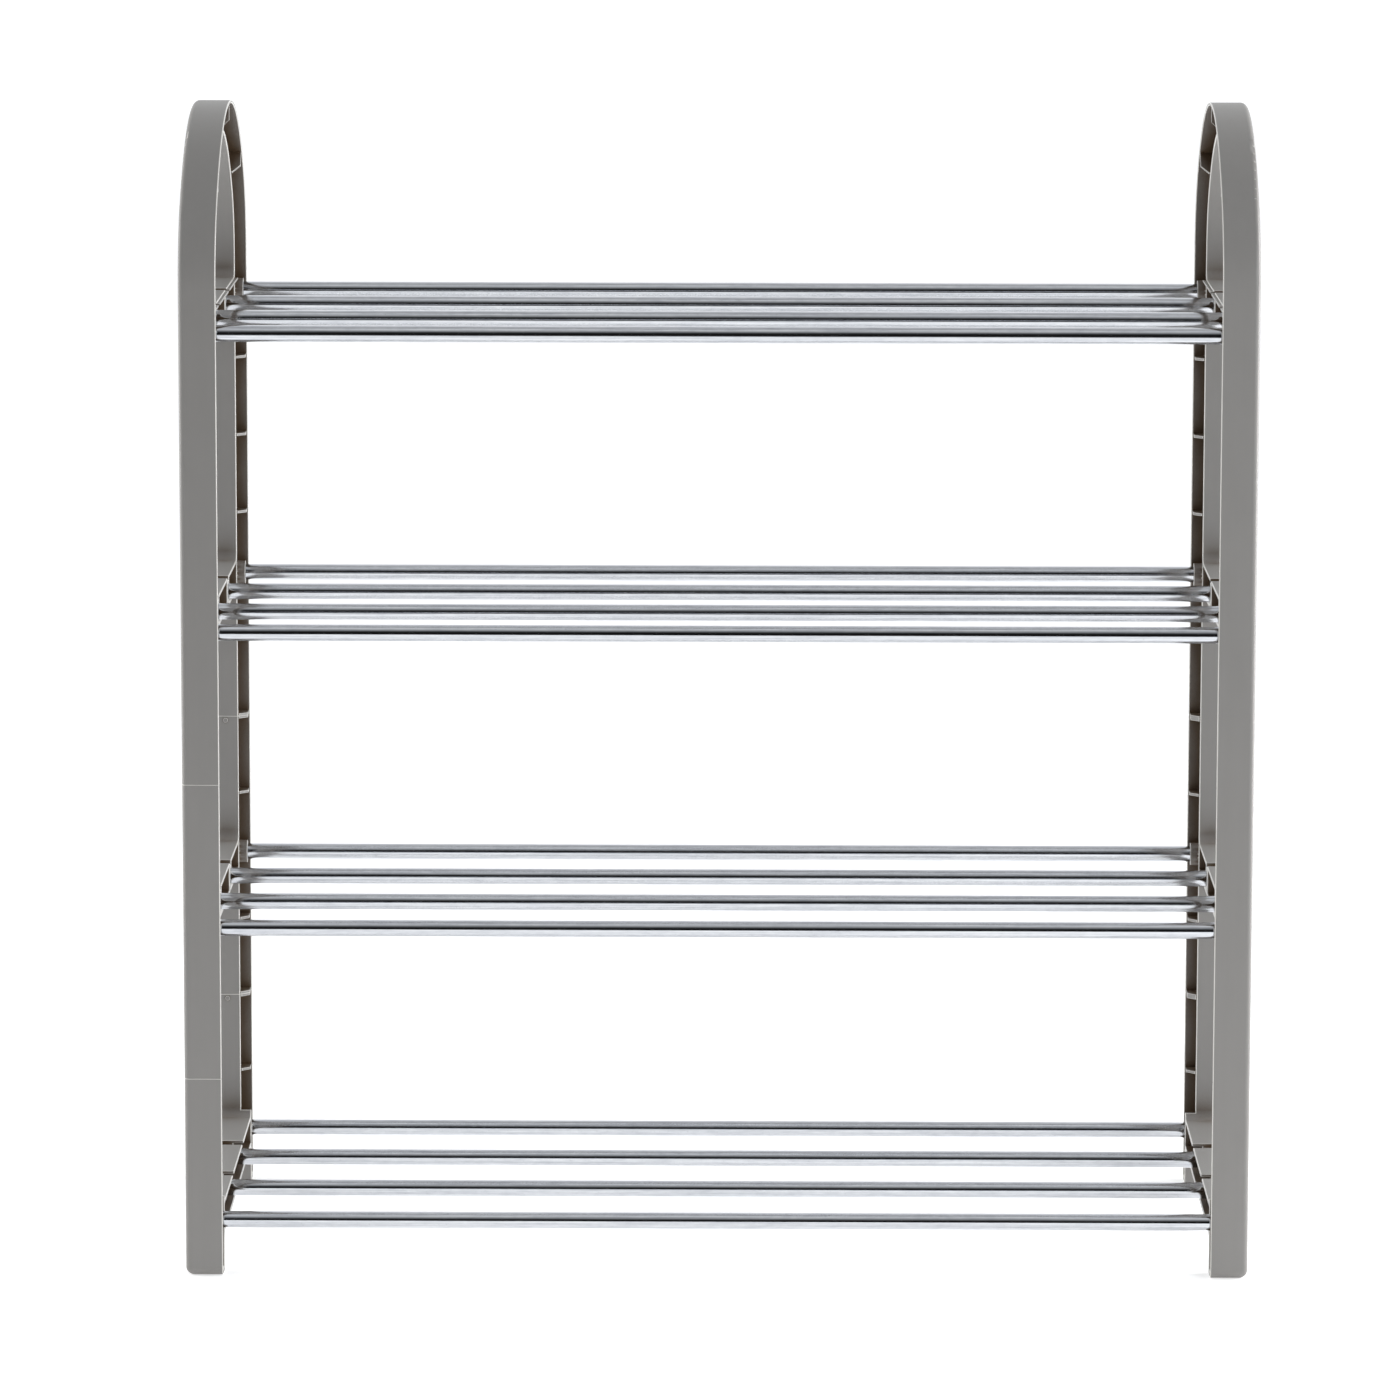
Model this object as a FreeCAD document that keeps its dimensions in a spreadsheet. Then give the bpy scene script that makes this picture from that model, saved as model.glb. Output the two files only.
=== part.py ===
import FreeCAD, Part
import math
import os

import Sketcher
from FreeCAD import Placement, Rotation, Vector

# Four-tier shoe rack, in millimetres. X runs along the tubes, Y from front to back and Z up.
# The origin is on the floor, under the middle of the rack.
# Two plastic end frames stand at the ends of X. Each is three moulded pieces, stacked leg on leg: a base
# frame with the feet, a middle frame, and an arch frame that closes the top. Four plain steel tubes per
# tier run from one end frame to the other, pushed into blind sockets.
# A frame piece is a channel, open towards the tubes: a web on the outside, an outer wall round the
# outline and an inner wall round the windows, tied together by thin cross plates.

SIZES = {
    "overall_width": 640,
    "overall_depth": 280,
    "overall_height": 698,
    "first_tier_height": 33,
    "tier_pitch": 179,
    "frame_width": 22.5,
    "band_depth": 17.5,
    "wall": 1.8,
    "inner_setback": 6.5,
    "edge_radius": 3.5,
    "arch_rise": 102,
    "arch_corner_radius": 72,
    "crossbar_above": 8.9,
    "crossbar_below": 10,
    "crossbar_fillet": 6,
    "rim_reach": 2,
    "rim_drop": 0.6,
    "tube_diameter": 10,
    "tube_wall": 0.6,
    "tube_inset": 8.75,
    "socket_clearance": 0.1,
    "boss_wall": 2,
    "boss_setback": 1.6,
    "slot_width": 12,
    "slot_cheek": 1.4,
    "rib_thickness": 1.6,
    "rib_setback": 0.7,
    "rib_chamfer": 5,
    "first_rib_drop": 42,
    "rib_pitch": 49,
    "arch_rib_angle": 50,
    "spigot_diameter": 8,
    "spigot_height": 12,
    "spigot_clearance": 0.15,
    "pip_diameter": 3,
    "pip_height": 0.6,
    "pip_drop": 2.5,
    "foot_step": 4,
    "foot_plate": 3,
    "foot_radius": 5,
}

# Planes across the frame that stands on the +X side.
OUTSIDE = "Sizes.overall_width / 2"
WEB = "(Sizes.overall_width / 2 - Sizes.wall)"
EDGE = "(Sizes.overall_width / 2 - Sizes.frame_width)"
INNER_EDGE = "(Sizes.overall_width / 2 - Sizes.frame_width + Sizes.inner_setback)"
RIM_EDGE = "(Sizes.overall_width / 2 - Sizes.frame_width + Sizes.inner_setback - Sizes.rim_reach)"
RIB_EDGE = "(Sizes.overall_width / 2 - Sizes.frame_width + Sizes.rib_setback)"
BOSS_EDGE = "(Sizes.overall_width / 2 - Sizes.frame_width + Sizes.boss_setback)"

# Places along the depth and the height.
HALF_DEPTH = "Sizes.overall_depth / 2"
WINDOW = "(Sizes.overall_depth / 2 - Sizes.band_depth)"
TUBE_ROW = "(Sizes.overall_depth / 2 - Sizes.tube_inset)"
SPRING = "(Sizes.overall_height - Sizes.arch_rise)"
CORNER_CENTRE = f"({HALF_DEPTH} - Sizes.arch_corner_radius)"
CROWN_LIFT = "(Sizes.arch_rise - Sizes.arch_corner_radius)"
CROWN_DROP = f"(({CORNER_CENTRE}^2 - {CROWN_LIFT}^2) / (2 * {CROWN_LIFT}))"
JOINT_DROP = "(Sizes.first_rib_drop + Sizes.rib_pitch)"

# Share of TUBE_ROW at which each tube of a tier lies, from front to back.
TUBE_PLACES = {"front": "-1", "mid_front": "-1 / 3", "mid_rear": "1 / 3", "rear": "1"}
TIERS = ["bottom", "lower", "upper", "top"]
TOLERANCE = 0.01


def tier(level):
    """Height of the tube axes of a tier; level 0 is the bottom one."""
    return f"(Sizes.first_tier_height + {level} * Sizes.tier_pitch)"


def joint(level):
    """Height of the leg joint in the bay under a tier."""
    return f"({tier(level)} - {JOINT_DROP})"


def make_sheet(doc):
    sheet = doc.addObject("Spreadsheet::Sheet", "Sizes")
    for row, (alias, value) in enumerate(SIZES.items(), start=1):
        sheet.set(f"A{row}", alias)
        sheet.set(f"B{row}", str(value))
        sheet.setAlias(f"B{row}", alias)
    doc.recompute()


# ---- sketches -------------------------------------------------------------------------------------


def number(thing, expression):
    return float(thing.evalExpression(expression))


def new_sketch(body, name, role, offset):
    """A sketch on one of the body's own planes, moved along its normal by an expression."""
    sketch = body.newObject("Sketcher::SketchObject", name)
    plane = next(f for f in body.Origin.OriginFeatures if f.Role == role)
    sketch.AttachmentSupport = [(plane, "")]
    sketch.MapMode = "FlatFace"
    sketch.setExpression("AttachmentOffset.Base.z", offset)
    return sketch


def bind(sketch, name, kind, targets, expression):
    """A dimension whose value is an expression on the sheet."""
    value = number(sketch, expression)
    index = sketch.addConstraint(Sketcher.Constraint(kind, *targets, value))
    sketch.renameConstraint(index, name)
    sketch.setExpression("Constraints." + name, expression)


def pin(sketch, name, element, point, across, up):
    """Fixes a point of an element by its two distances from the sketch origin."""
    bind(sketch, name + "_across", "DistanceX", (-1, 1, element, point), across)
    bind(sketch, name + "_up", "DistanceY", (-1, 1, element, point), up)


def add_polygon(sketch, name, corners):
    first = sketch.GeometryCount
    points = [Vector(number(sketch, across), number(sketch, up), 0) for across, up in corners]
    for index, point in enumerate(points):
        following = points[(index + 1) % len(points)]
        sketch.addGeometry(Part.LineSegment(point, following))
    for index, (across, up) in enumerate(corners):
        line = first + index
        previous = first + (index - 1) % len(corners)
        sketch.addConstraint(Sketcher.Constraint("Coincident", previous, 2, line, 1))
        pin(sketch, f"{name}_{index}", line, 1, across, up)


def add_rectangle(sketch, name, left, right, low, high):
    add_polygon(sketch, name, [(left, low), (right, low), (right, high), (left, high)])


def add_circle(sketch, name, across, up, diameter):
    centre = Vector(number(sketch, across), number(sketch, up), 0)
    radius = number(sketch, diameter) / 2
    circle = sketch.addGeometry(Part.Circle(centre, Vector(0, 0, 1), radius))
    pin(sketch, name, circle, 3, across, up)
    bind(sketch, name + "_size", "Diameter", (circle,), diameter)


def crown(half_span, rise, corner_radius):
    """The flat middle arc of the arch: how far its centre lies under the springing, and its radius."""
    across = half_span - corner_radius
    up = rise - corner_radius
    drop = (across**2 - up**2) / (2 * up)
    return drop, rise + drop


def add_arch_line(sketch, name, offset, foot):
    """Leg, corner arc, crown arc, corner arc and leg, as one line a given offset inside the outline."""
    half_span = number(sketch, f"{HALF_DEPTH} - {offset}")
    corner_radius = number(sketch, f"Sizes.arch_corner_radius - {offset}")
    spring = number(sketch, SPRING)
    low = number(sketch, foot)
    drop, crown_radius = crown(half_span, number(sketch, f"Sizes.arch_rise - {offset}"), corner_radius)
    corner = half_span - corner_radius
    turn = math.atan2(drop, corner)

    def arc(across, up, radius, begin, end):
        circle = Part.Circle(Vector(across, up, 0), Vector(0, 0, 1), radius)
        return sketch.addGeometry(Part.ArcOfCircle(circle, begin, end))

    rear = sketch.addGeometry(Part.LineSegment(Vector(half_span, low, 0), Vector(half_span, spring, 0)))
    rear_arc = arc(corner, spring, corner_radius, 0, turn)
    crown_arc = arc(0, spring - drop, crown_radius, turn, math.pi - turn)
    front_arc = arc(-corner, spring, corner_radius, math.pi - turn, math.pi)
    front = sketch.addGeometry(Part.LineSegment(Vector(-half_span, spring, 0), Vector(-half_span, low, 0)))
    apex = sketch.addGeometry(Part.Point(Vector(0, number(sketch, f"Sizes.overall_height - {offset}"), 0)))
    sketch.toggleConstruction(apex)

    chain = [rear, rear_arc, crown_arc, front_arc, front]
    for one, other in zip(chain, chain[1:]):
        sketch.addConstraint(Sketcher.Constraint("Tangent", one, 2, other, 1))
    sketch.addConstraint(Sketcher.Constraint("Vertical", rear))
    sketch.addConstraint(Sketcher.Constraint("Vertical", front))
    sketch.addConstraint(Sketcher.Constraint("Equal", rear_arc, front_arc))
    sketch.addConstraint(Sketcher.Constraint("PointOnObject", crown_arc, 3, -2))
    sketch.addConstraint(Sketcher.Constraint("PointOnObject", apex, 1, crown_arc))
    sketch.addConstraint(Sketcher.Constraint("PointOnObject", apex, 1, -2))
    bind(sketch, name + "_corner", "Radius", (rear_arc,), f"Sizes.arch_corner_radius - {offset}")
    bind(sketch, name + "_apex", "DistanceY", (-1, 1, apex, 1), f"Sizes.overall_height - {offset}")
    bind(sketch, name + "_spring", "DistanceY", (-1, 1, rear, 2), SPRING)
    pin(sketch, name + "_rear_foot", rear, 1, f"{HALF_DEPTH} - {offset}", foot)
    pin(sketch, name + "_front_foot", front, 2, f"-({HALF_DEPTH} - {offset})", foot)
    return rear, front


def add_arch_strip(sketch, near, far, foot):
    """The strip between two offsets from the outline, closed at both feet."""
    outer = add_arch_line(sketch, "outer", near, foot)
    inner = add_arch_line(sketch, "inner", far, foot)
    for outer_leg, inner_leg, point in zip(outer, inner, (1, 2)):
        ends = [sketch.getPoint(outer_leg, point), sketch.getPoint(inner_leg, point)]
        close = sketch.addGeometry(Part.LineSegment(*ends))
        sketch.addConstraint(Sketcher.Constraint("Coincident", close, 1, outer_leg, point))
        sketch.addConstraint(Sketcher.Constraint("Coincident", close, 2, inner_leg, point))


def add_leg_strips(sketch, near, far, foot, head):
    """The same strip on straight legs: one rectangle per leg."""
    for name, sign in (("front", "-1"), ("rear", "1")):
        outer = f"{sign} * ({HALF_DEPTH} - {near})"
        inner = f"{sign} * ({HALF_DEPTH} - {far})"
        add_rectangle(sketch, name, outer, inner, foot, head)


# ---- features -------------------------------------------------------------------------------------


def new_body(doc, label, turned=False):
    """A body; a turned one stands at the -X end, because both end frames are the same mouldings."""
    body = doc.addObject("PartDesign::Body", label)
    body.Label = label
    angle = 180 if turned else 0
    body.Placement = Placement(Vector(0, 0, 0), Rotation(Vector(0, 0, 1), angle))
    return body


def volume(body):
    return body.Shape.Volume if body.Shape.Solids else 0.0


def pad(body, sketch, length):
    before = volume(body)
    feature = body.newObject("PartDesign::Pad", "Pad_" + sketch.Label)
    feature.Profile = sketch
    feature.setExpression("Length", length)
    body.Document.recompute()
    if volume(body) <= before:
        raise RuntimeError(f"{feature.Name} adds nothing")


def pocket(body, sketch, length):
    """Cuts along the sketch's normal, into the frame."""
    before = volume(body)
    feature = body.newObject("PartDesign::Pocket", "Pocket_" + sketch.Label)
    feature.Profile = sketch
    feature.Reversed = True
    feature.setExpression("Length", length)
    body.Document.recompute()
    if volume(body) >= before:
        raise RuntimeError(f"{feature.Name} cuts nothing")


def fillet(body, name, radius, test):
    """Rounds every edge whose middle and two ends pass the test."""
    base = body.Tip
    names = []
    for index, edge in enumerate(base.Shape.Edges, start=1):
        middle = edge.valueAt((edge.FirstParameter + edge.LastParameter) / 2)
        if all(test(point) for point in [middle] + [vertex.Point for vertex in edge.Vertexes]):
            names.append(f"Edge{index}")
    if not names:
        raise RuntimeError(f"{name} finds no edge")
    feature = body.newObject("PartDesign::Fillet", name)
    feature.Base = (base, names)
    feature.setExpression("Radius", radius)
    body.Document.recompute()
    if not feature.isValid():
        raise RuntimeError(f"{name} can't be rounded")


def same(one, other):
    return abs(one - other) < TOLERANCE


# ---- frame pieces ---------------------------------------------------------------------------------


def add_walls(body, strip):
    """Web, outer wall and inner wall. strip(sketch, near, far) draws a strip of the outline."""
    web = new_sketch(body, "web", "YZ_Plane", WEB)
    strip(web, "0", "Sizes.band_depth")
    pad(body, web, "Sizes.wall")
    outer = new_sketch(body, "outer_wall", "YZ_Plane", EDGE)
    strip(outer, "0", "Sizes.wall")
    pad(body, outer, "Sizes.frame_width")
    inner = new_sketch(body, "inner_wall", "YZ_Plane", INNER_EDGE)
    strip(inner, "(Sizes.band_depth - Sizes.wall)", "Sizes.band_depth")
    pad(body, inner, "Sizes.frame_width - Sizes.inner_setback")


def add_crossbar_webs(body, levels):
    sketch = new_sketch(body, "crossbar_web", "YZ_Plane", WEB)
    for level in levels:
        low = f"{tier(level)} - Sizes.crossbar_below"
        high = f"{tier(level)} + Sizes.crossbar_above"
        add_rectangle(sketch, f"web_{level}", f"-{WINDOW}", WINDOW, low, high)
    pad(body, sketch, "Sizes.wall")


def add_crossbar_walls(body, levels, edge):
    """The top and bottom walls of each crossbar, from the web to a given plane."""
    sketch = new_sketch(body, "crossbar_walls", "YZ_Plane", edge)
    for level in levels:
        low = f"{tier(level)} - Sizes.crossbar_below"
        high = f"{tier(level)} + Sizes.crossbar_above"
        add_rectangle(sketch, f"floor_{level}", f"-{WINDOW}", WINDOW, low, f"{low} + Sizes.wall")
        add_rectangle(sketch, f"roof_{level}", f"-{WINDOW}", WINDOW, f"{high} - Sizes.wall", high)
    pad(body, sketch, f"{OUTSIDE} - {edge}")


def round_crossbar_corners(body, levels):
    """Fillets where the crossbars meet the window side of the legs."""
    window = number(body, WINDOW)
    heights = [number(body, f"{tier(level)} + Sizes.crossbar_above") for level in levels]
    heights += [number(body, f"{tier(level)} - Sizes.crossbar_below") for level in levels]
    fillet(
        body,
        "crossbar_corners",
        "Sizes.crossbar_fillet",
        lambda point: same(abs(point.y), window) and any(same(point.z, height) for height in heights),
    )


def middle_tubes():
    return {name: f"({share} * {TUBE_ROW})" for name, share in TUBE_PLACES.items() if "mid" in name}


def outer_tubes():
    return {name: f"({share} * {TUBE_ROW})" for name, share in TUBE_PLACES.items() if "mid" not in name}


def add_bosses(body, name, places, levels, edge):
    size = "Sizes.tube_diameter + 2 * (Sizes.socket_clearance + Sizes.boss_wall)"
    sketch = new_sketch(body, name, "YZ_Plane", edge)
    for level in levels:
        for place, across in places.items():
            add_circle(sketch, f"{place}_{level}", across, tier(level), size)
    pad(body, sketch, f"{WEB} - {edge}")


def add_slot_cheeks(body, levels):
    """Upright plates beside the slot over each middle tube."""
    sketch = new_sketch(body, "slot_cheeks", "YZ_Plane", INNER_EDGE)
    for level in levels:
        low = f"{tier(level)} - Sizes.crossbar_below + Sizes.wall / 2"
        high = f"{tier(level)} + Sizes.crossbar_above - Sizes.wall / 2"
        for place, across in middle_tubes().items():
            near = f"{across} - Sizes.slot_width / 2"
            far = f"{across} + Sizes.slot_width / 2"
            add_rectangle(sketch, f"{place}_{level}_a", f"{near} - Sizes.slot_cheek", near, low, high)
            add_rectangle(sketch, f"{place}_{level}_b", far, f"{far} + Sizes.slot_cheek", low, high)
    pad(body, sketch, f"{WEB} - {INNER_EDGE}")


def cut_slots(body, levels):
    """Slots through the crossbar's top wall, one over each middle tube."""
    sketch = new_sketch(body, "slots", "YZ_Plane", f"{EDGE} - Sizes.wall")
    for level in levels:
        high = f"{tier(level)} + Sizes.crossbar_above"
        for place, across in middle_tubes().items():
            near = f"{across} - Sizes.slot_width / 2"
            far = f"{across} + Sizes.slot_width / 2"
            above = f"{high} + Sizes.wall"
            add_rectangle(sketch, f"{place}_{level}", near, far, f"{high} - Sizes.wall", above)
    pocket(body, sketch, "Sizes.frame_width")


def cut_sockets(body, levels):
    """Blind sockets, as deep as the inside of the web."""
    sketch = new_sketch(body, "sockets", "YZ_Plane", f"{EDGE} - Sizes.wall")
    for level in levels:
        for place, across in {**outer_tubes(), **middle_tubes()}.items():
            size = "Sizes.tube_diameter + 2 * Sizes.socket_clearance"
            add_circle(sketch, f"{place}_{level}", across, tier(level), size)
    pocket(body, sketch, "Sizes.frame_width")


def add_rib_outline(sketch, name, sign, reach):
    """A cross plate, seen square on: it spans the channel and has one corner cut away.

    reach is how far the frame's outline lies from the sketch origin.
    """
    outer = f"{sign} * ({reach} - Sizes.wall / 2)"
    inner = f"{sign} * ({reach} - Sizes.band_depth + Sizes.wall / 2)"
    inner_cut = f"{sign} * ({reach} - Sizes.band_depth + Sizes.wall / 2 + Sizes.rib_chamfer)"
    corners = [(RIB_EDGE, outer), (WEB, outer), (WEB, inner)]
    corners += [(f"{RIB_EDGE} + Sizes.rib_chamfer", inner), (RIB_EDGE, inner_cut)]
    add_polygon(sketch, name, corners)


def add_leg_ribs(body, name, height):
    sketch = new_sketch(body, name, "XY_Plane", height)
    add_rib_outline(sketch, "front", "-1", HALF_DEPTH)
    add_rib_outline(sketch, "rear", "1", HALF_DEPTH)
    pad(body, sketch, "Sizes.rib_thickness")


def add_arch_rib(body, name, angle):
    """A rib across the crown, turned about the X axis through the centre of the crown's arc."""
    sketch = new_sketch(body, name, "XY_Plane", f"{SPRING} - {CROWN_DROP}")
    sketch.AttachmentOffset = Placement(Vector(0, 0, 0), Rotation(Vector(1, 0, 0), angle))
    add_rib_outline(sketch, "arch", "1", f"(Sizes.arch_rise + {CROWN_DROP})")
    pad(body, sketch, "Sizes.rib_thickness")


def add_spigots(body, head):
    """Round pegs on the top plates, which line up the frame above."""
    sketch = new_sketch(body, "spigots", "XY_Plane", f"{head} - Sizes.rib_thickness")
    for name, sign in (("front", "-1"), ("rear", "1")):
        across = f"{sign} * ({HALF_DEPTH} - Sizes.band_depth / 2)"
        centre = f"{OUTSIDE} - Sizes.frame_width / 2"
        add_circle(sketch, name, centre, across, "Sizes.spigot_diameter")
    pad(body, sketch, "Sizes.rib_thickness + Sizes.spigot_height")


def cut_spigot_holes(body, foot):
    sketch = new_sketch(body, "spigot_holes", "XY_Plane", f"{foot} - Sizes.wall")
    for name, sign in (("front", "-1"), ("rear", "1")):
        across = f"{sign} * ({HALF_DEPTH} - Sizes.band_depth / 2)"
        centre = f"{OUTSIDE} - Sizes.frame_width / 2"
        add_circle(sketch, name, centre, across, "Sizes.spigot_diameter + 2 * Sizes.spigot_clearance")
    pocket(body, sketch, "Sizes.wall + Sizes.rib_thickness")


def add_pip(body, head):
    """A small round stud on the window side of one leg, just under the joint."""
    sketch = new_sketch(body, "pip", "XZ_Plane", f"{WINDOW} - Sizes.pip_height")
    centre = f"{OUTSIDE} - (Sizes.frame_width - Sizes.inner_setback) / 2"
    add_circle(sketch, "stud", centre, f"{head} - Sizes.pip_drop", "Sizes.pip_diameter")
    pad(body, sketch, "Sizes.pip_height + Sizes.wall / 2")


def add_tube_seats(body, levels):
    add_bosses(body, "outer_bosses", outer_tubes(), levels, BOSS_EDGE)
    add_bosses(body, "middle_bosses", middle_tubes(), levels, INNER_EDGE)
    add_slot_cheeks(body, levels)
    cut_sockets(body, levels)
    cut_slots(body, levels)


def rib_height(level, step):
    """Underside of a leg rib; step 0 is the first one under a tier."""
    middle = f"{tier(level)} - Sizes.first_rib_drop - {step} * Sizes.rib_pitch"
    return f"{middle} - Sizes.rib_thickness / 2"


def round_leg_edges(body):
    """Rounds the long outer corner of both straight legs."""
    outside = number(body, OUTSIDE)
    half_depth = number(body, HALF_DEPTH)
    fillet(
        body,
        "leg_edges",
        "Sizes.edge_radius",
        lambda point: same(point.x, outside) and same(abs(point.y), half_depth),
    )


def make_base_frame(doc, label, turned):
    body = new_body(doc, label, turned)
    levels = [0]
    head = joint(1)
    step = f"({tier(0)} + Sizes.crossbar_above + Sizes.foot_step)"
    add_crossbar_webs(body, levels)
    add_walls(body, lambda sketch, near, far: add_leg_strips(sketch, near, far, "0", head))
    wide = new_sketch(body, "foot_wall", "YZ_Plane", EDGE)
    add_leg_strips(wide, "(Sizes.band_depth - Sizes.wall)", "Sizes.band_depth", "0", step)
    pad(body, wide, "Sizes.frame_width")
    plate = new_sketch(body, "foot_plate", "YZ_Plane", EDGE)
    add_leg_strips(plate, "0", "Sizes.band_depth", "0", "Sizes.foot_plate")
    pad(body, plate, "Sizes.frame_width")
    add_crossbar_walls(body, levels, EDGE)
    round_leg_edges(body)
    round_foot_edges(body)
    round_crossbar_corners(body, levels)
    add_tube_seats(body, levels)
    add_leg_ribs(body, "leg_rib", rib_height(1, 2))
    add_leg_ribs(body, "top_plate", f"{head} - Sizes.rib_thickness")
    add_spigots(body, head)
    add_pip(body, head)
    return body


def round_foot_edges(body):
    """Rounds the lower outer edge of both feet."""
    outside = number(body, OUTSIDE)
    fillet(
        body,
        "foot_edges",
        "Sizes.foot_radius",
        lambda point: same(point.z, 0) and same(point.x, outside),
    )


def make_middle_frame(doc, label, turned):
    body = new_body(doc, label, turned)
    levels = [1]
    foot = joint(1)
    head = joint(2)
    add_crossbar_webs(body, levels)
    add_walls(body, lambda sketch, near, far: add_leg_strips(sketch, near, far, foot, head))
    add_crossbar_walls(body, levels, INNER_EDGE)
    round_leg_edges(body)
    round_crossbar_corners(body, levels)
    add_tube_seats(body, levels)
    add_leg_ribs(body, "bottom_plate", foot)
    add_leg_ribs(body, "lower_rib", rib_height(1, 0))
    add_leg_ribs(body, "upper_rib", rib_height(2, 2))
    add_leg_ribs(body, "top_plate", f"{head} - Sizes.rib_thickness")
    add_spigots(body, head)
    cut_spigot_holes(body, foot)
    add_pip(body, head)
    return body


def round_arch_edges(body):
    """Rounds the outer corner of the legs and of the whole arch."""
    outside = number(body, OUTSIDE)
    half_depth = number(body, HALF_DEPTH)
    spring = number(body, SPRING)
    corner_radius = number(body, "Sizes.arch_corner_radius")
    drop, crown_radius = crown(half_depth, number(body, "Sizes.arch_rise"), corner_radius)

    def on_outline(point):
        across = abs(point.y)
        up = point.z - spring
        on_corner = same(math.hypot(across - (half_depth - corner_radius), up), corner_radius)
        on_crown = same(math.hypot(across, up + drop), crown_radius)
        return same(point.x, outside) and (same(across, half_depth) or on_corner or on_crown)

    fillet(body, "arch_edges", "Sizes.edge_radius", on_outline)


def add_rim(body, level):
    """A ledge along the edge of the top crossbar's roof, a little below it and broken at the slots."""
    sketch = new_sketch(body, "rim", "YZ_Plane", RIM_EDGE)
    high = f"{tier(level)} + Sizes.crossbar_above"
    add_rectangle(sketch, "rim", f"-{WINDOW}", WINDOW, f"{high} - Sizes.wall", f"{high} - Sizes.rim_drop")
    pad(body, sketch, "Sizes.rim_reach + Sizes.wall")


def make_arch_frame(doc, label, turned):
    body = new_body(doc, label, turned)
    levels = [2, 3]
    foot = joint(2)
    add_crossbar_webs(body, levels)
    add_walls(body, lambda sketch, near, far: add_arch_strip(sketch, near, far, foot))
    add_crossbar_walls(body, levels, INNER_EDGE)
    add_rim(body, 3)
    round_arch_edges(body)
    round_crossbar_corners(body, levels)
    add_tube_seats(body, levels)
    add_leg_ribs(body, "bottom_plate", foot)
    add_leg_ribs(body, "lower_rib", rib_height(2, 0))
    for step in range(3):
        add_leg_ribs(body, f"upper_rib_{step}", rib_height(3, step))
    tilt = number(body, "Sizes.arch_rib_angle")
    add_arch_rib(body, "crown_rib", 90)
    add_arch_rib(body, "rear_arch_rib", tilt)
    add_arch_rib(body, "front_arch_rib", 180 - tilt)
    cut_spigot_holes(body, foot)
    return body


# ---- tubes ----------------------------------------------------------------------------------------


def make_tube(doc, label, across, level):
    """A plain tube, its ends against the inside of both webs."""
    body = new_body(doc, label)
    sketch = new_sketch(body, "section", "YZ_Plane", f"-{WEB}")
    add_circle(sketch, "outside", across, tier(level), "Sizes.tube_diameter")
    add_circle(sketch, "bore", across, tier(level), "Sizes.tube_diameter - 2 * Sizes.tube_wall")
    pad(body, sketch, f"2 * {WEB}")
    return body


# ---- the rack -------------------------------------------------------------------------------------


def check(doc, bodies):
    for thing in doc.Objects:
        if "Invalid" in thing.State or "Error" in thing.State:
            raise RuntimeError(f"{thing.Label} failed: {thing.State}")
    for body in bodies:
        shape = body.Shape
        if shape.isNull() or not shape.isValid() or len(shape.Solids) != 1:
            raise RuntimeError(f"{body.Label} is not one valid solid")


def main():
    doc = FreeCAD.newDocument("shoe_rack")
    make_sheet(doc)
    bodies = []
    for side, turned in (("right", False), ("left", True)):
        bodies.append(make_base_frame(doc, f"{side}_base_frame", turned))
        bodies.append(make_middle_frame(doc, f"{side}_middle_frame", turned))
        bodies.append(make_arch_frame(doc, f"{side}_arch_frame", turned))
    for level, tier_name in enumerate(TIERS):
        for place, share in TUBE_PLACES.items():
            label = f"{tier_name}_{place}_tube"
            bodies.append(make_tube(doc, label, f"({share} * {TUBE_ROW})", level))
    doc.recompute()
    check(doc, bodies)
    os.makedirs("parts", exist_ok=True)
    for body in bodies:
        body.Shape.exportStep(f"parts/{body.Label}.step")
        print(body.Label, round(body.Shape.Volume), "mm3")


main()
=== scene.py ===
# %% [markdown]
# # A four-tier shoe rack
# The rack is two moulded plastic end frames, each of three pieces stacked leg on leg, and sixteen plain
# plated-steel tubes pushed into sockets in the frames. The design model holds every size and place. This
# lesson loads it as a fixed frame and gives each piece rounded edges, a finish and studio light.

# %% Load the frame
import math

import bmesh
import bpy
import numpy as np
from mathutils import Matrix, Vector


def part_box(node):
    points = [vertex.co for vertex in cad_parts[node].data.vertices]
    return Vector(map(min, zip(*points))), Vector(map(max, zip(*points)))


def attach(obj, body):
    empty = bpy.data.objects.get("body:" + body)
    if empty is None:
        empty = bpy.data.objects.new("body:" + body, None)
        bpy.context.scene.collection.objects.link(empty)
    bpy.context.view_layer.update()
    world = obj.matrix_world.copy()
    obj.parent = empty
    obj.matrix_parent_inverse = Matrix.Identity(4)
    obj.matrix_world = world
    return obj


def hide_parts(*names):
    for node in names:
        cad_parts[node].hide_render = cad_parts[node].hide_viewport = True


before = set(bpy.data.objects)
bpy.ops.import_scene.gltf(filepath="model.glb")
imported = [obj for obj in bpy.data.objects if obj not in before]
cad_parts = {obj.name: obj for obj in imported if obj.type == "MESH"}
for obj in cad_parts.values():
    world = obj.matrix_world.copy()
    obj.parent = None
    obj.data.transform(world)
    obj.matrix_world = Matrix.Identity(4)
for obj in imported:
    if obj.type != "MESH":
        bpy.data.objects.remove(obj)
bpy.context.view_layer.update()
print("design model:", len(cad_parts), "nodes")

# %% [markdown]
# ## Names of the pieces
# Every piece keeps the name of the node that it stands for, with a word added for what it is made of.
# Lengths are in metres, so a millimetre gets a name of its own.

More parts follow.
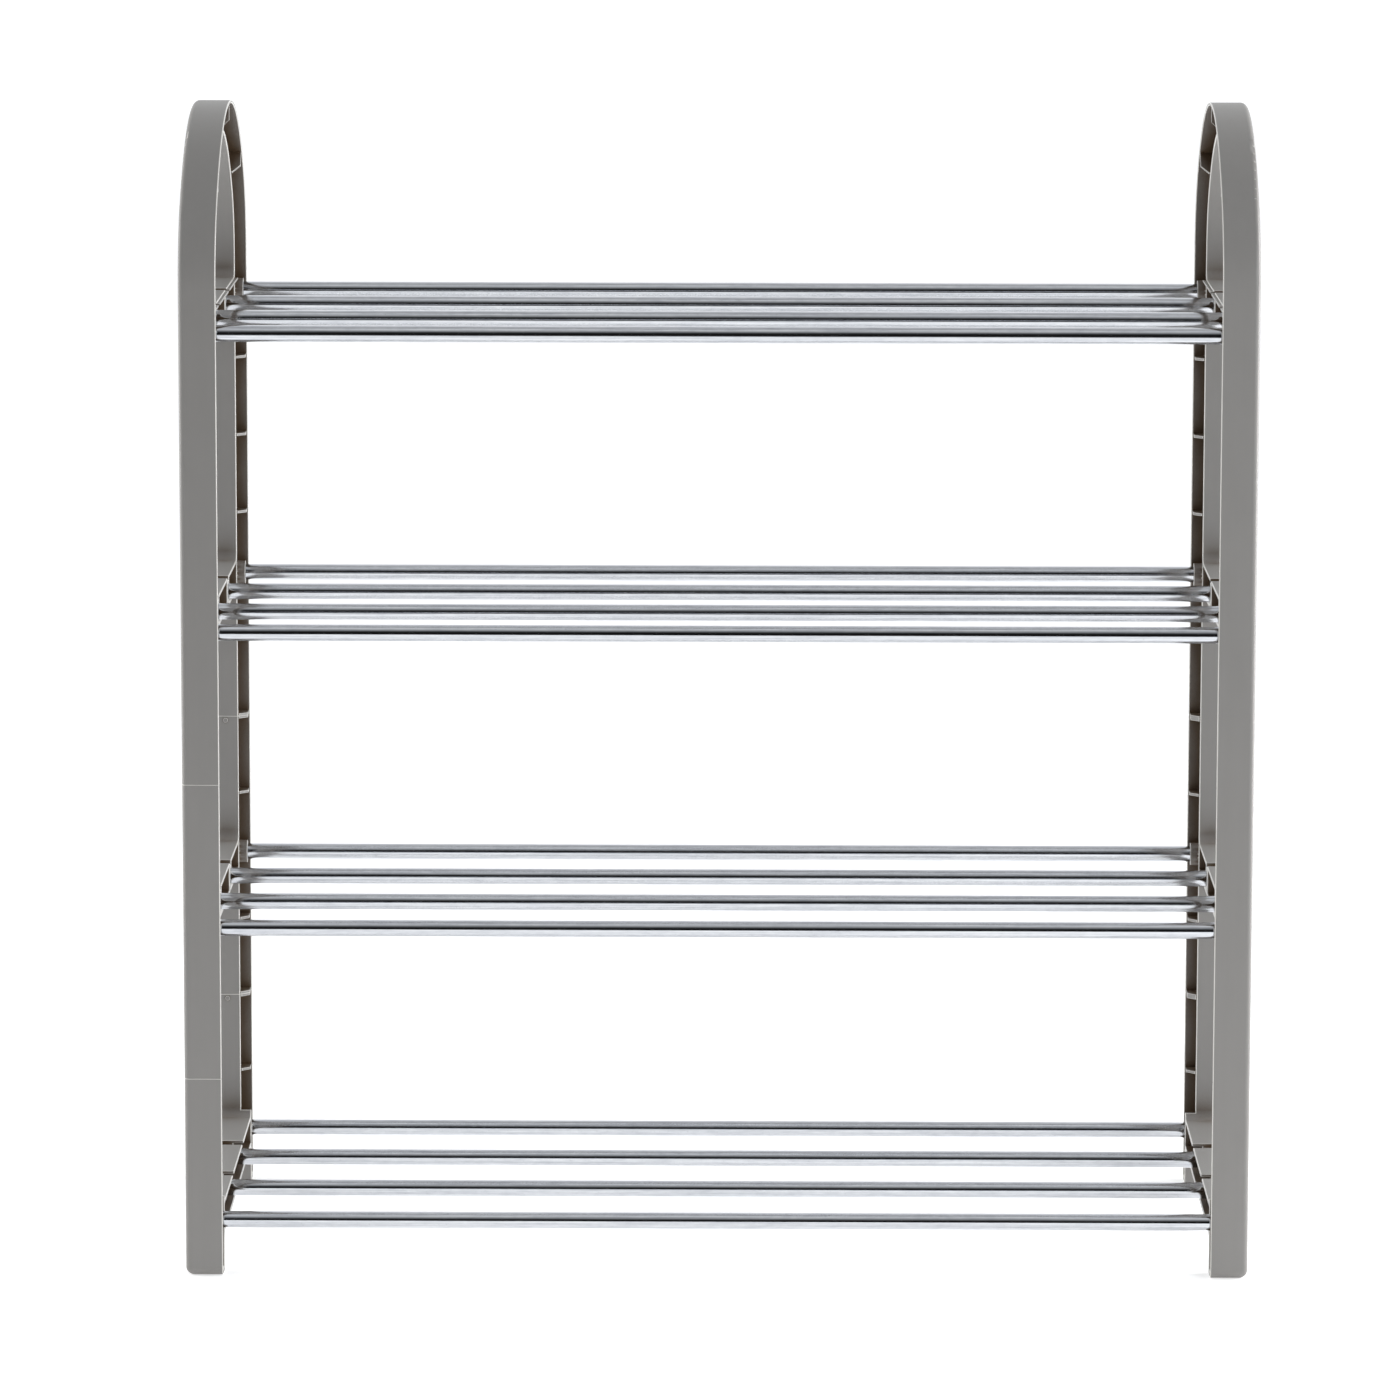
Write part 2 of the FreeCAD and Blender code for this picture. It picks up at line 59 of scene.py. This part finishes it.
# %% Names and units
MM = 0.001
SIDES = ["left", "right"]
LEVELS = ["base", "middle", "arch"]
TIERS = ["bottom", "lower", "upper", "top"]
PLACES = ["front", "mid_front", "mid_rear", "rear"]
FRAME_NODES = [f"{side}_{level}_frame" for side in SIDES for level in LEVELS]
TUBE_NODES = [f"{tier}_{place}_tube" for tier in TIERS for place in PLACES]
print(len(FRAME_NODES), "frame pieces and", len(TUBE_NODES), "tubes")

# %% [markdown]
# ## Shader maths as Python
# A material is a graph of nodes, and long graphs of Math nodes are hard to read. A small class wraps one
# output socket, so that `1 - mask` or `a * b + c` adds the Math nodes by itself. Every other node comes from
# its `node` method, which takes the node's type, its settings and its inputs.

# %% A wire in a node tree
class Wire:
    """An output socket of a node tree. Arithmetic on it adds Math nodes, on either side of a number."""

    def __init__(self, tree, socket=None):
        self.tree = tree
        self.socket = socket

    def node(self, kind, settings, inputs, output=0):
        """Adds a node: its settings first, then a value or a wire for each named or numbered input."""
        made = self.tree.nodes.new("ShaderNode" + kind)
        for name, value in settings.items():
            if name == "stops":
                set_stops(made.color_ramp, value)
            else:
                setattr(made, name, value)
        for name, value in inputs.items():
            if isinstance(value, Wire):
                self.tree.links.new(value.socket, made.inputs[name])
            else:
                made.inputs[name].default_value = value
        return Wire(self.tree, made.outputs[output] if made.outputs else None)

    def math(self, operation, *others):
        """A Math node on this wire and up to two more wires or numbers."""
        return self.node("Math", {"operation": operation}, dict(enumerate([self, *others])))

    def __add__(self, other):
        return self.math("ADD", other)

    def __radd__(self, other):
        return self.math("ADD", other)

    def __mul__(self, other):
        return self.math("MULTIPLY", other)

    def __rmul__(self, other):
        return self.math("MULTIPLY", other)

    def __sub__(self, other):
        return self.math("SUBTRACT", other)

    def __rsub__(self, other):
        return (self * -1).math("ADD", other)


def set_stops(ramp, stops):
    """Gives a colour ramp exactly these stops: pairs of a place from 0 to 1 and a grey or a colour."""
    while len(ramp.elements) < len(stops):
        ramp.elements.new(1)
    for element, (place, value) in zip(ramp.elements, stops):
        element.position = place
        element.color = (value, value, value, 1) if isinstance(value, float) else (*value, 1)


def new_material(name):
    """An empty material, and a first wire from which its nodes are added."""
    material = bpy.data.materials.new(name)
    material.use_nodes = True
    material.node_tree.nodes.clear()
    return material, Wire(material.node_tree)


def noise(coordinates, per_metre, detail=2.0, roughness=0.5):
    """A noise from 0 to 1, with a chosen number of features per metre along X, Y and Z."""
    stretched = coordinates.node("Mapping", {}, {"Vector": coordinates, "Scale": per_metre})
    inputs = {"Vector": stretched, "Scale": 1.0, "Detail": detail, "Roughness": roughness}
    return coordinates.node("TexNoise", {}, inputs)


def between(wire, low, high):
    """Spreads a 0 to 1 wire over low to high."""
    return wire * (high - low) + low


def mix_colour(wire, factor, first, second):
    """A Mix node from the first colour to the second as the factor goes from 0 to 1."""
    inputs = {0: factor, 6: first, 7: second}
    return wire.node("Mix", {"data_type": "RGBA"}, inputs, output=2)


def finish_surface(wire, shader):
    """Joins a shader to the material's output."""
    wire.node("OutputMaterial", {"target": "ALL"}, {"Surface": shader})


# %% [markdown]
# ## The plastic
# The frames are moulded plastic in a warm grey, with a fine grain, a slightly uneven sheen and faint flow
# marks along the legs. An ambient occlusion node tells how open each place is, and deep pockets turn to a
# dark brown, which is painted shade. Object coordinates carry the pattern, so the grain has one size on
# every piece. The rounds of the edges get a second, paler and glossier plastic, whose pale colour is a
# painted highlight, so that they show as fine bright lines.

# %% Frame plastic
PLASTIC = (0.242, 0.233, 0.222, 1)
PLASTIC_DARK = (0.218, 0.209, 0.199, 1)
# The dark brown below is painted shade: it stands in for the shade deep in the pockets and channels.
PAINTED_SHADE_BROWN = (0.085, 0.054, 0.03, 1)
# The two rim colours below are painted highlight: pale tones on the edge rounds that stand in for their
# bright lines.
RIM_PAINTED_PALE = (0.66, 0.64, 0.6, 1)
RIM_PAINTED_DIM = (0.5, 0.485, 0.455, 1)
SHADE_REACH = 26 * MM
OPEN_ENOUGH = 0.93
FULLY_DEEP = 0.55
PLASTIC_IOR = 1.49


def make_plastic():
    """Warm grey satin plastic: mottled colour, painted shade in deep pockets, uneven gloss, fine grain and
    shallow waves.
    """
    material, start = new_material("frame_plastic_finish")
    place = start.node("TexCoord", {}, {}, output="Object")
    mottle = noise(place, (70, 70, 30), detail=3.0)
    flow = noise(place, (260, 260, 9), detail=2.0)
    grain = noise(place, (2600, 2600, 2600), detail=1.5)
    wave = noise(place, (45, 45, 14), detail=1.0)
    skin = mix_colour(start, mottle * 0.6 + flow * 0.4, PLASTIC_DARK, PLASTIC)
    reach = {"Distance": SHADE_REACH}
    # Painted shade: where ambient occlusion finds the plastic closed in, the colour turns towards the dark
    # brown.
    open_air = start.node("AmbientOcclusion", {"samples": 8, "only_local": True}, reach, output="AO")
    limits = {"Value": open_air, "From Min": OPEN_ENOUGH, "From Max": FULLY_DEEP}
    shade = open_air.node("MapRange", {}, limits)
    colour = mix_colour(start, shade, skin, PAINTED_SHADE_BROWN)
    gloss = between(mottle * 0.5 + grain * 0.5, 0.36, 0.52)
    height = grain * 0.012 + wave * 0.35
    bump = start.node("Bump", {}, {"Strength": 0.25, "Distance": 0.4 * MM, "Height": height})
    inputs = {"Base Color": colour, "Roughness": gloss, "Normal": bump, "IOR": PLASTIC_IOR}
    finish_surface(start, start.node("BsdfPrincipled", {}, inputs))
    return material


def make_rim_painted_highlight():
    """A paler, glossier plastic for the thin rounds of the edges, its pale colour a painted highlight."""
    material, start = new_material("frame_plastic_rim")
    place = start.node("TexCoord", {}, {}, output="Object")
    # The noise makes the painted highlight uneven, and the gloss with it.
    highlight_unevenness = noise(place, (160, 160, 40), detail=3.0)
    inputs = {
        "Base Color": mix_colour(start, highlight_unevenness, RIM_PAINTED_DIM, RIM_PAINTED_PALE),
        "Roughness": between(highlight_unevenness, 0.3, 0.42),
        "IOR": PLASTIC_IOR,
        "Coat Weight": 0.4,
        "Coat Roughness": 0.2,
    }
    finish_surface(start, start.node("BsdfPrincipled", {}, inputs))
    return material


plastic = make_plastic()
rim_highlight_plastic = make_rim_painted_highlight()
for material in (plastic, rim_highlight_plastic):
    print("material:", material.name, len(material.node_tree.nodes), "nodes")

# %% [markdown]
# ## The plated steel
# The tubes are thin drawn steel with a bright plate. Drawing leaves fine lines along the tube, and the
# plate is a little cloudy between them, so reflections break into long streaks.

# %% Tube steel
STEEL_BRIGHT = (0.66, 0.675, 0.70, 1)
STEEL_DULL = (0.47, 0.485, 0.52, 1)
STEEL_SPECK = (0.25, 0.26, 0.28, 1)
SPECK_STOPS = [(0.0, 0.0), (0.68, 0.0), (0.78, 1.0)]
BRIGHT_STOPS = [(0.36, 0.0), (0.62, 1.0)]


def make_steel():
    """Bright plated steel with draw lines along X, cloudy patches and small specks."""
    material, start = new_material("tube_steel_finish")
    place = start.node("TexCoord", {}, {}, output="Object")
    lines = noise(place, (9, 1500, 1500), detail=3.0)
    streaks = noise(place, (45, 700, 700), detail=2.0)
    cloud = noise(place, (160, 420, 420), detail=3.0)
    specks = noise(place, (900, 1600, 1600), detail=1.0)
    dark_specks = specks.node("ValToRGB", {"stops": SPECK_STOPS}, {"Fac": specks})
    bright = lines * 0.5 + streaks * 0.3 + cloud * 0.2
    spread = start.node("ValToRGB", {"stops": BRIGHT_STOPS}, {"Fac": bright})
    colour = mix_colour(start, spread, STEEL_DULL, STEEL_BRIGHT)
    speckled = mix_colour(start, dark_specks * 0.35, colour, STEEL_SPECK)
    gloss = between(cloud * 0.6 + lines * 0.4, 0.05, 0.16)
    height = lines * 0.5 + streaks * 0.4 + cloud * 0.3
    bump = start.node("Bump", {}, {"Strength": 0.16, "Distance": 0.05 * MM, "Height": height})
    inputs = {"Base Color": speckled, "Metallic": 1.0, "Roughness": gloss, "Normal": bump}
    finish_surface(start, start.node("BsdfPrincipled", {}, inputs))
    return material


steel = make_steel()
print("material:", steel.name, len(steel.node_tree.nodes), "nodes")

# %% [markdown]
# ## The frame pieces
# A moulded edge is never quite sharp. Each frame piece is a copy of its node's mesh, with the triangles
# joined into flat faces. A Bevel then rounds its outside edges by their weight: the wall rims fully, and
# every other outside edge about a third as much. Its new faces take the paler rim material, a painted
# highlight that makes them show as fine bright lines. The joint edges of the left frame are rounded too, so
# they show as fine painted highlight lines, and those of the right frame are left sharp.

# %% Joined copy of a node
MERGE = 0.002 * MM
FLAT = math.radians(0.4)


def merged_copy(node, name):
    """A new object whose mesh is the node's own, with doubles merged and flat areas joined."""
    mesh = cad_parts[node].data.copy()
    mesh.name = name
    mesh.materials.clear()
    work = bmesh.new()
    work.from_mesh(mesh)
    bmesh.ops.remove_doubles(work, verts=work.verts, dist=MERGE)
    bmesh.ops.dissolve_limit(work, angle_limit=FLAT, verts=work.verts, edges=work.edges)
    work.to_mesh(mesh)
    work.free()
    piece = bpy.data.objects.new(name, mesh)
    bpy.context.scene.collection.objects.link(piece)
    return piece


def read(collection, attribute, width, kind=float):
    """One attribute of every item of a mesh collection, as an array with one row per item."""
    values = np.empty(len(collection) * width, dtype=kind)
    collection.foreach_get(attribute, values)
    return values.reshape(-1, width) if width > 1 else values


# %% Which edges stand out
SHARP_COSINE = math.cos(math.radians(30))


def outside_edges(mesh):
    """A True for every sharp edge that stands out, as the edge of a box does and an inside corner doesn't.

    Face A lies on one side of the edge. The cross product of its normal and the edge's direction, taken the
    way A's own border runs, points into A. The edge stands out where that points below face B.
    """
    ends = read(mesh.edges, "vertices", 2, int)
    corner_edge = read(mesh.loops, "edge_index", 1, int)
    corner_vertex = read(mesh.loops, "vertex_index", 1, int)
    corner_face = np.repeat(np.arange(len(mesh.polygons)), read(mesh.polygons, "loop_total", 1, int))
    pairs = np.argsort(corner_edge, kind="stable").reshape(-1, 2)
    first, second = corner_face[pairs].T
    normals = read(mesh.polygons, "normal", 3)
    points = read(mesh.vertices, "co", 3)
    along = points[ends[:, 1]] - points[ends[:, 0]]
    along *= np.where(corner_vertex[pairs[:, 0]] == ends[:, 0], 1, -1)[:, None]
    into_first = np.cross(normals[first], along)
    stands_out = np.sum(into_first * normals[second], axis=1) < 0
    sharp = np.sum(normals[first] * normals[second], axis=1) < SHARP_COSINE
    return sharp & stands_out


# %% Rounded edges
# Rounds of 0.62 mm and wider, when tried, left overlapping faces on the left arch piece.
RIM_ROUND = 0.6 * MM
OTHER_SHARE = 0.35
ON_PLANE = 0.02 * MM


def in_planes(places, planes):
    """True for every edge whose two ends lie in one of the planes, all given as distances along an axis."""
    found = np.zeros(len(places), dtype=bool)
    for plane in planes:
        found |= np.all(np.abs(places - plane) < ON_PLANE, axis=1)
    return found


def give_edge_weights(mesh, rims, sharp_joints):
    """Weight 1 for outside edges in a rim plane, none in a joint left sharp, OTHER_SHARE for the rest."""
    ends = read(mesh.edges, "vertices", 2, int)
    points = read(mesh.vertices, "co", 3)
    on_rim = in_planes(np.abs(points[:, 0])[ends], rims)
    on_joint = in_planes(points[:, 2][ends], sharp_joints)
    weight = np.where(on_rim, 1.0, np.where(on_joint, 0.0, OTHER_SHARE)) * outside_edges(mesh)
    mesh.attributes.new("bevel_weight_edge", "FLOAT", "EDGE").data.foreach_set("value", weight)
    return int(np.sum(weight > 0))


# %% Frame pieces
INNER_SETBACK = 6.5 * MM
RIM_SLOT = 1
JOINTS = [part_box(node)[0][2] for node in ("right_middle_frame", "right_arch_frame")]
SHARP_JOINTS = {"left": [], "right": JOINTS}
SHARP = math.radians(30)


def make_frame_piece(node):
    """The moulded piece that stands for a frame node."""
    piece = merged_copy(node, node + "_moulding")
    mesh = piece.data
    low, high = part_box(node)
    open_edge = min(abs(low[0]), abs(high[0]))
    side = node.split("_")[0]
    rounded = give_edge_weights(mesh, [open_edge, open_edge + INNER_SETBACK], SHARP_JOINTS[side])
    mesh.polygons.foreach_set("use_smooth", np.ones(len(mesh.polygons), dtype=bool))
    mesh.set_sharp_from_angle(angle=SHARP)
    mesh.materials.append(plastic)
    mesh.materials.append(rim_highlight_plastic)
    bevel = piece.modifiers.new("moulded_edges", "BEVEL")
    bevel.width = RIM_ROUND
    bevel.segments = 4
    # The bevel's new faces take the rim material, a painted highlight.
    bevel.material = RIM_SLOT
    bevel.limit_method = "WEIGHT"
    bevel.use_clamp_overlap = False
    even = piece.modifiers.new("even_shading", "WEIGHTED_NORMAL")
    even.keep_sharp = True
    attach(piece, "root")
    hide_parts(node)
    return piece, rounded


for node in FRAME_NODES:
    piece, rounded = make_frame_piece(node)
    print(piece.name, len(piece.data.polygons), "faces,", rounded, "rounded edges")

# %% [markdown]
# ## The tubes
# A drawn tube is nearly perfect: a straight cylinder with a thin wall, cut square and rolled over a little
# at each end. Its surface is one profile, which goes along the outside, round the lip and back along the
# bore, turned round the tube's axis. The draw lines give the outside a very small ripple round the axis,
# which is enough to break up the reflections.

# %% Tube surface
AROUND = 96
LIP_STEPS = 7
LENGTH_STEPS = 24
RIPPLE = 0.004 * MM
RIPPLE_WAVES = (5, 9, 14, 22)
PHASE_DRIFT = 6
WALL = 0.6 * MM


def tube_profile(low_x, high_x, radius, wall):
    """(x, r) pairs of a closed loop: out along the outside, a half round lip, back along the bore, a lip."""
    lip = wall / 2
    middle = radius - lip
    turn = np.linspace(math.pi / 2, -math.pi / 2, LIP_STEPS)
    along = np.linspace(low_x + lip, high_x - lip, LENGTH_STEPS)
    right = np.stack([high_x - lip + lip * np.cos(turn), middle + lip * np.sin(turn)], axis=1)
    left = np.stack([low_x + lip - lip * np.cos(turn), middle - lip * np.sin(turn)], axis=1)
    outside = np.stack([along[1:-1], np.full(LENGTH_STEPS - 2, radius)], axis=1)
    bore = np.stack([along[-2:0:-1], np.full(LENGTH_STEPS - 2, radius - wall)], axis=1)
    return np.concatenate([outside, right, bore, left])


def turned_grid(profile, centre, seed):
    """Vertices and quads of a closed profile turned round an axis along X.

    A point at (x, r) and angle a goes to (x, centre y + r cos a, centre z + r sin a), where r also takes the
    ripple: a sum of a few sines of a whose phases drift slowly along x.
    """
    angle = np.linspace(0, 2 * math.pi, AROUND, endpoint=False)
    x = profile[:, 0][:, None]
    r = profile[:, 1][:, None]
    chance = np.random.default_rng(seed)
    ripple = sum(
        np.sin(
            waves * angle[None, :]
            + chance.uniform(0, 6.28)
            + chance.uniform(-PHASE_DRIFT, PHASE_DRIFT) * x
        )
        for waves in RIPPLE_WAVES
    )
    radius = r + RIPPLE * ripple / len(RIPPLE_WAVES)
    along = np.broadcast_to(x, radius.shape)
    across = centre[1] + radius * np.cos(angle)
    up = centre[2] + radius * np.sin(angle)
    points = np.stack([along, across, up], axis=2)
    rows, columns = radius.shape
    a, b = np.meshgrid(np.arange(rows), np.arange(columns), indexing="ij")
    this_row = a * columns
    next_row = (a + 1) % rows * columns
    next_b = (b + 1) % columns
    quads = np.stack([this_row + b, this_row + next_b, next_row + next_b, next_row + b], axis=2)
    return points.reshape(-1, 3), quads.reshape(-1, 4)


def mesh_from_grid(name, points, quads):
    """A mesh object of the given points and quads, smooth shaded."""
    mesh = bpy.data.meshes.new(name)
    mesh.vertices.add(len(points))
    mesh.vertices.foreach_set("co", points.ravel())
    mesh.loops.add(quads.size)
    mesh.loops.foreach_set("vertex_index", quads.ravel())
    mesh.polygons.add(len(quads))
    mesh.polygons.foreach_set("loop_start", np.arange(0, quads.size, 4))
    mesh.polygons.foreach_set("use_smooth", np.ones(len(quads), dtype=bool))
    mesh.update(calc_edges=True)
    mesh.validate()
    piece = bpy.data.objects.new(name, mesh)
    bpy.context.scene.collection.objects.link(piece)
    return piece


def make_tube_piece(node, seed):
    """The plated tube that stands for a tube node, in the same place and of the same size."""
    low, high = (np.array(corner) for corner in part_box(node))
    centre = (low + high) / 2
    radius = (high[2] - low[2]) / 2
    profile = tube_profile(low[0], high[0], radius - RIPPLE, WALL)
    points, quads = turned_grid(profile, centre, seed)
    piece = mesh_from_grid(node + "_plated", points, quads)
    piece.data.materials.append(steel)
    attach(piece, "root")
    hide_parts(node)
    return piece


for seed, node in enumerate(TUBE_NODES):
    piece = make_tube_piece(node, seed)
print(len(TUBE_NODES), "tubes of", len(piece.data.polygons), "faces each")

# %% [markdown]
# ## Floor, studio and light
# The rack stands on a white floor in a white studio. The walls and the ceiling are the world's own light, a
# function of direction: white behind the rack, dimmer to the sides and overhead, and nearly black
# towards the front at eye level. Bright metal needs that dark band to reflect, or it looks like white paint.
# Seen directly, the studio is white all round.

# %% Floor
FLOOR_FRONT = -1.6
FLOOR_BACK = 9.0
FLOOR_SIDE = 8.0
FLOOR_GLOW = 0.42


def make_floor():
    """A flat white sheet under the rack, from a little in front of it to far behind."""
    front = [(-FLOOR_SIDE, FLOOR_FRONT, 0), (FLOOR_SIDE, FLOOR_FRONT, 0)]
    back = [(FLOOR_SIDE, FLOOR_BACK, 0), (-FLOOR_SIDE, FLOOR_BACK, 0)]
    mesh = bpy.data.meshes.new("studio_floor")
    mesh.from_pydata(front + back, [], [(0, 1, 2, 3)])
    floor = bpy.data.objects.new("studio_floor", mesh)
    bpy.context.scene.collection.objects.link(floor)
    material, start = new_material("studio_floor_paint")
    inputs = {
        "Base Color": (0.85, 0.85, 0.85, 1),
        "Roughness": 0.9,
        "Specular IOR Level": 0.1,
        "Emission Color": (1, 1, 1, 1),
        "Emission Strength": FLOOR_GLOW,
    }
    finish_surface(start, start.node("BsdfPrincipled", {}, inputs))
    mesh.materials.append(material)
    return floor


floor = make_floor()
print("floor:", [round(v, 2) for v in floor.dimensions])

# %% World
STUDIO_WHITE = 1.15
STUDIO_COLOUR = (0.97, 0.985, 1.0, 1)
SIDE_WHITE = 0.75
SIDE_FROM = 0.35
SIDE_TO = 0.75

# Light by the angle about X: 0.25 is straight down, 0.5 the front, 0.75 straight up, 0 and 1 the back.
SLICE_STOPS = [
    (0.0, 1.0), (0.25, 1.0), (0.43, 0.8), (0.465, 0.04), (0.485, 0.01), (0.55, 0.01), (0.58, 0.08),
    (0.61, 0.24), (0.645, 0.5), (0.7, 0.72), (0.77, 0.46), (0.84, 0.68), (0.93, 1.0),
]


def make_world():
    """White studio light by direction, with a dark band towards the front."""
    world = bpy.data.worlds.new("studio")
    bpy.context.scene.world = world
    world.use_nodes = True
    world.node_tree.nodes.clear()
    start = Wire(world.node_tree)
    direction = start.node("TexCoord", {}, {}, output="Generated")
    parts = start.node("SeparateXYZ", {}, {"Vector": direction})
    x, y, z = (Wire(world.node_tree, parts.socket.node.outputs[i]) for i in range(3))
    angle = z.math("ARCTAN2", y * -1)
    height = angle * (1 / (2 * math.pi)) + 0.5
    slice_light = start.node("ValToRGB", {"stops": SLICE_STOPS}, {"Fac": height})
    limits = {"Value": x.math("ABSOLUTE"), "From Min": SIDE_FROM, "From Max": SIDE_TO}
    open_side = start.node("MapRange", {"interpolation_type": "SMOOTHSTEP"}, limits)
    light = slice_light * (1 - open_side) + open_side * SIDE_WHITE
    camera_ray = start.node("LightPath", {}, {}, output="Is Camera Ray")
    strength = light.math("MAXIMUM", camera_ray) * STUDIO_WHITE
    background = start.node("Background", {}, {"Color": STUDIO_COLOUR, "Strength": strength})
    start.node("OutputWorld", {}, {"Surface": background})
    return world


make_world()
print("world:", bpy.context.scene.world.name)

# %% Soft lights
def add_soft_light(name, place, aim, size, power, colour):
    """A rectangular area light that faces a point."""
    data = bpy.data.lights.new(name, "AREA")
    data.shape = "RECTANGLE"
    data.size, data.size_y = size
    data.energy = power
    data.color = colour
    light = bpy.data.objects.new(name, data)
    light.location = place
    light.rotation_euler = (Vector(aim) - Vector(place)).to_track_quat("-Z", "Y").to_euler()
    bpy.context.scene.collection.objects.link(light)
    return light


RACK_MIDDLE = (0, 0, 0.35)
EDGE_BOX = (0.5, 1.5)
FRONT_BOX = (1.0, 1.4)
WHITE = (1, 1, 1)
COOL_WHITE = (0.92, 0.96, 1)
add_soft_light("left_edge_softbox", (-1.7, 0.35, 0.55), RACK_MIDDLE, EDGE_BOX, 20, WHITE)
add_soft_light("right_edge_softbox", (1.7, 0.35, 0.55), RACK_MIDDLE, EDGE_BOX, 32, WHITE)
add_soft_light("front_softbox", (2.4, -2.6, 1.2), RACK_MIDDLE, FRONT_BOX, 40, COOL_WHITE)

# %% [markdown]
# ## Camera
# A long lens from far away keeps the rack's sides nearly parallel. It stands a little above the top tier
# and looks slightly down, so each tier shows its four tubes one above the other.

# %% Camera
CAMERA_PLACE = Vector((0.0123, -4.4664, 1.0310))
CAMERA_AIM = Vector((-0.0148, 0.0, 0.3339))
CAMERA_ROLL = math.radians(0.118)
LENS = 190.6


def make_camera():
    """A camera at CAMERA_PLACE that faces CAMERA_AIM, turned a little about its own axis."""
    data = bpy.data.cameras.new("camera")
    data.lens = LENS
    data.sensor_width = 36
    data.clip_end = 50
    camera = bpy.data.objects.new("camera", data)
    facing = (CAMERA_AIM - CAMERA_PLACE).to_track_quat("-Z", "Y").to_matrix()
    turned = facing @ Matrix.Rotation(CAMERA_ROLL, 3, "Z")
    camera.matrix_world = Matrix.Translation(CAMERA_PLACE) @ turned.to_4x4()
    bpy.context.scene.collection.objects.link(camera)
    bpy.context.scene.camera = camera
    return camera


make_camera()
bpy.context.scene.view_settings.view_transform = "Standard"
print("camera lens:", LENS, "mm")
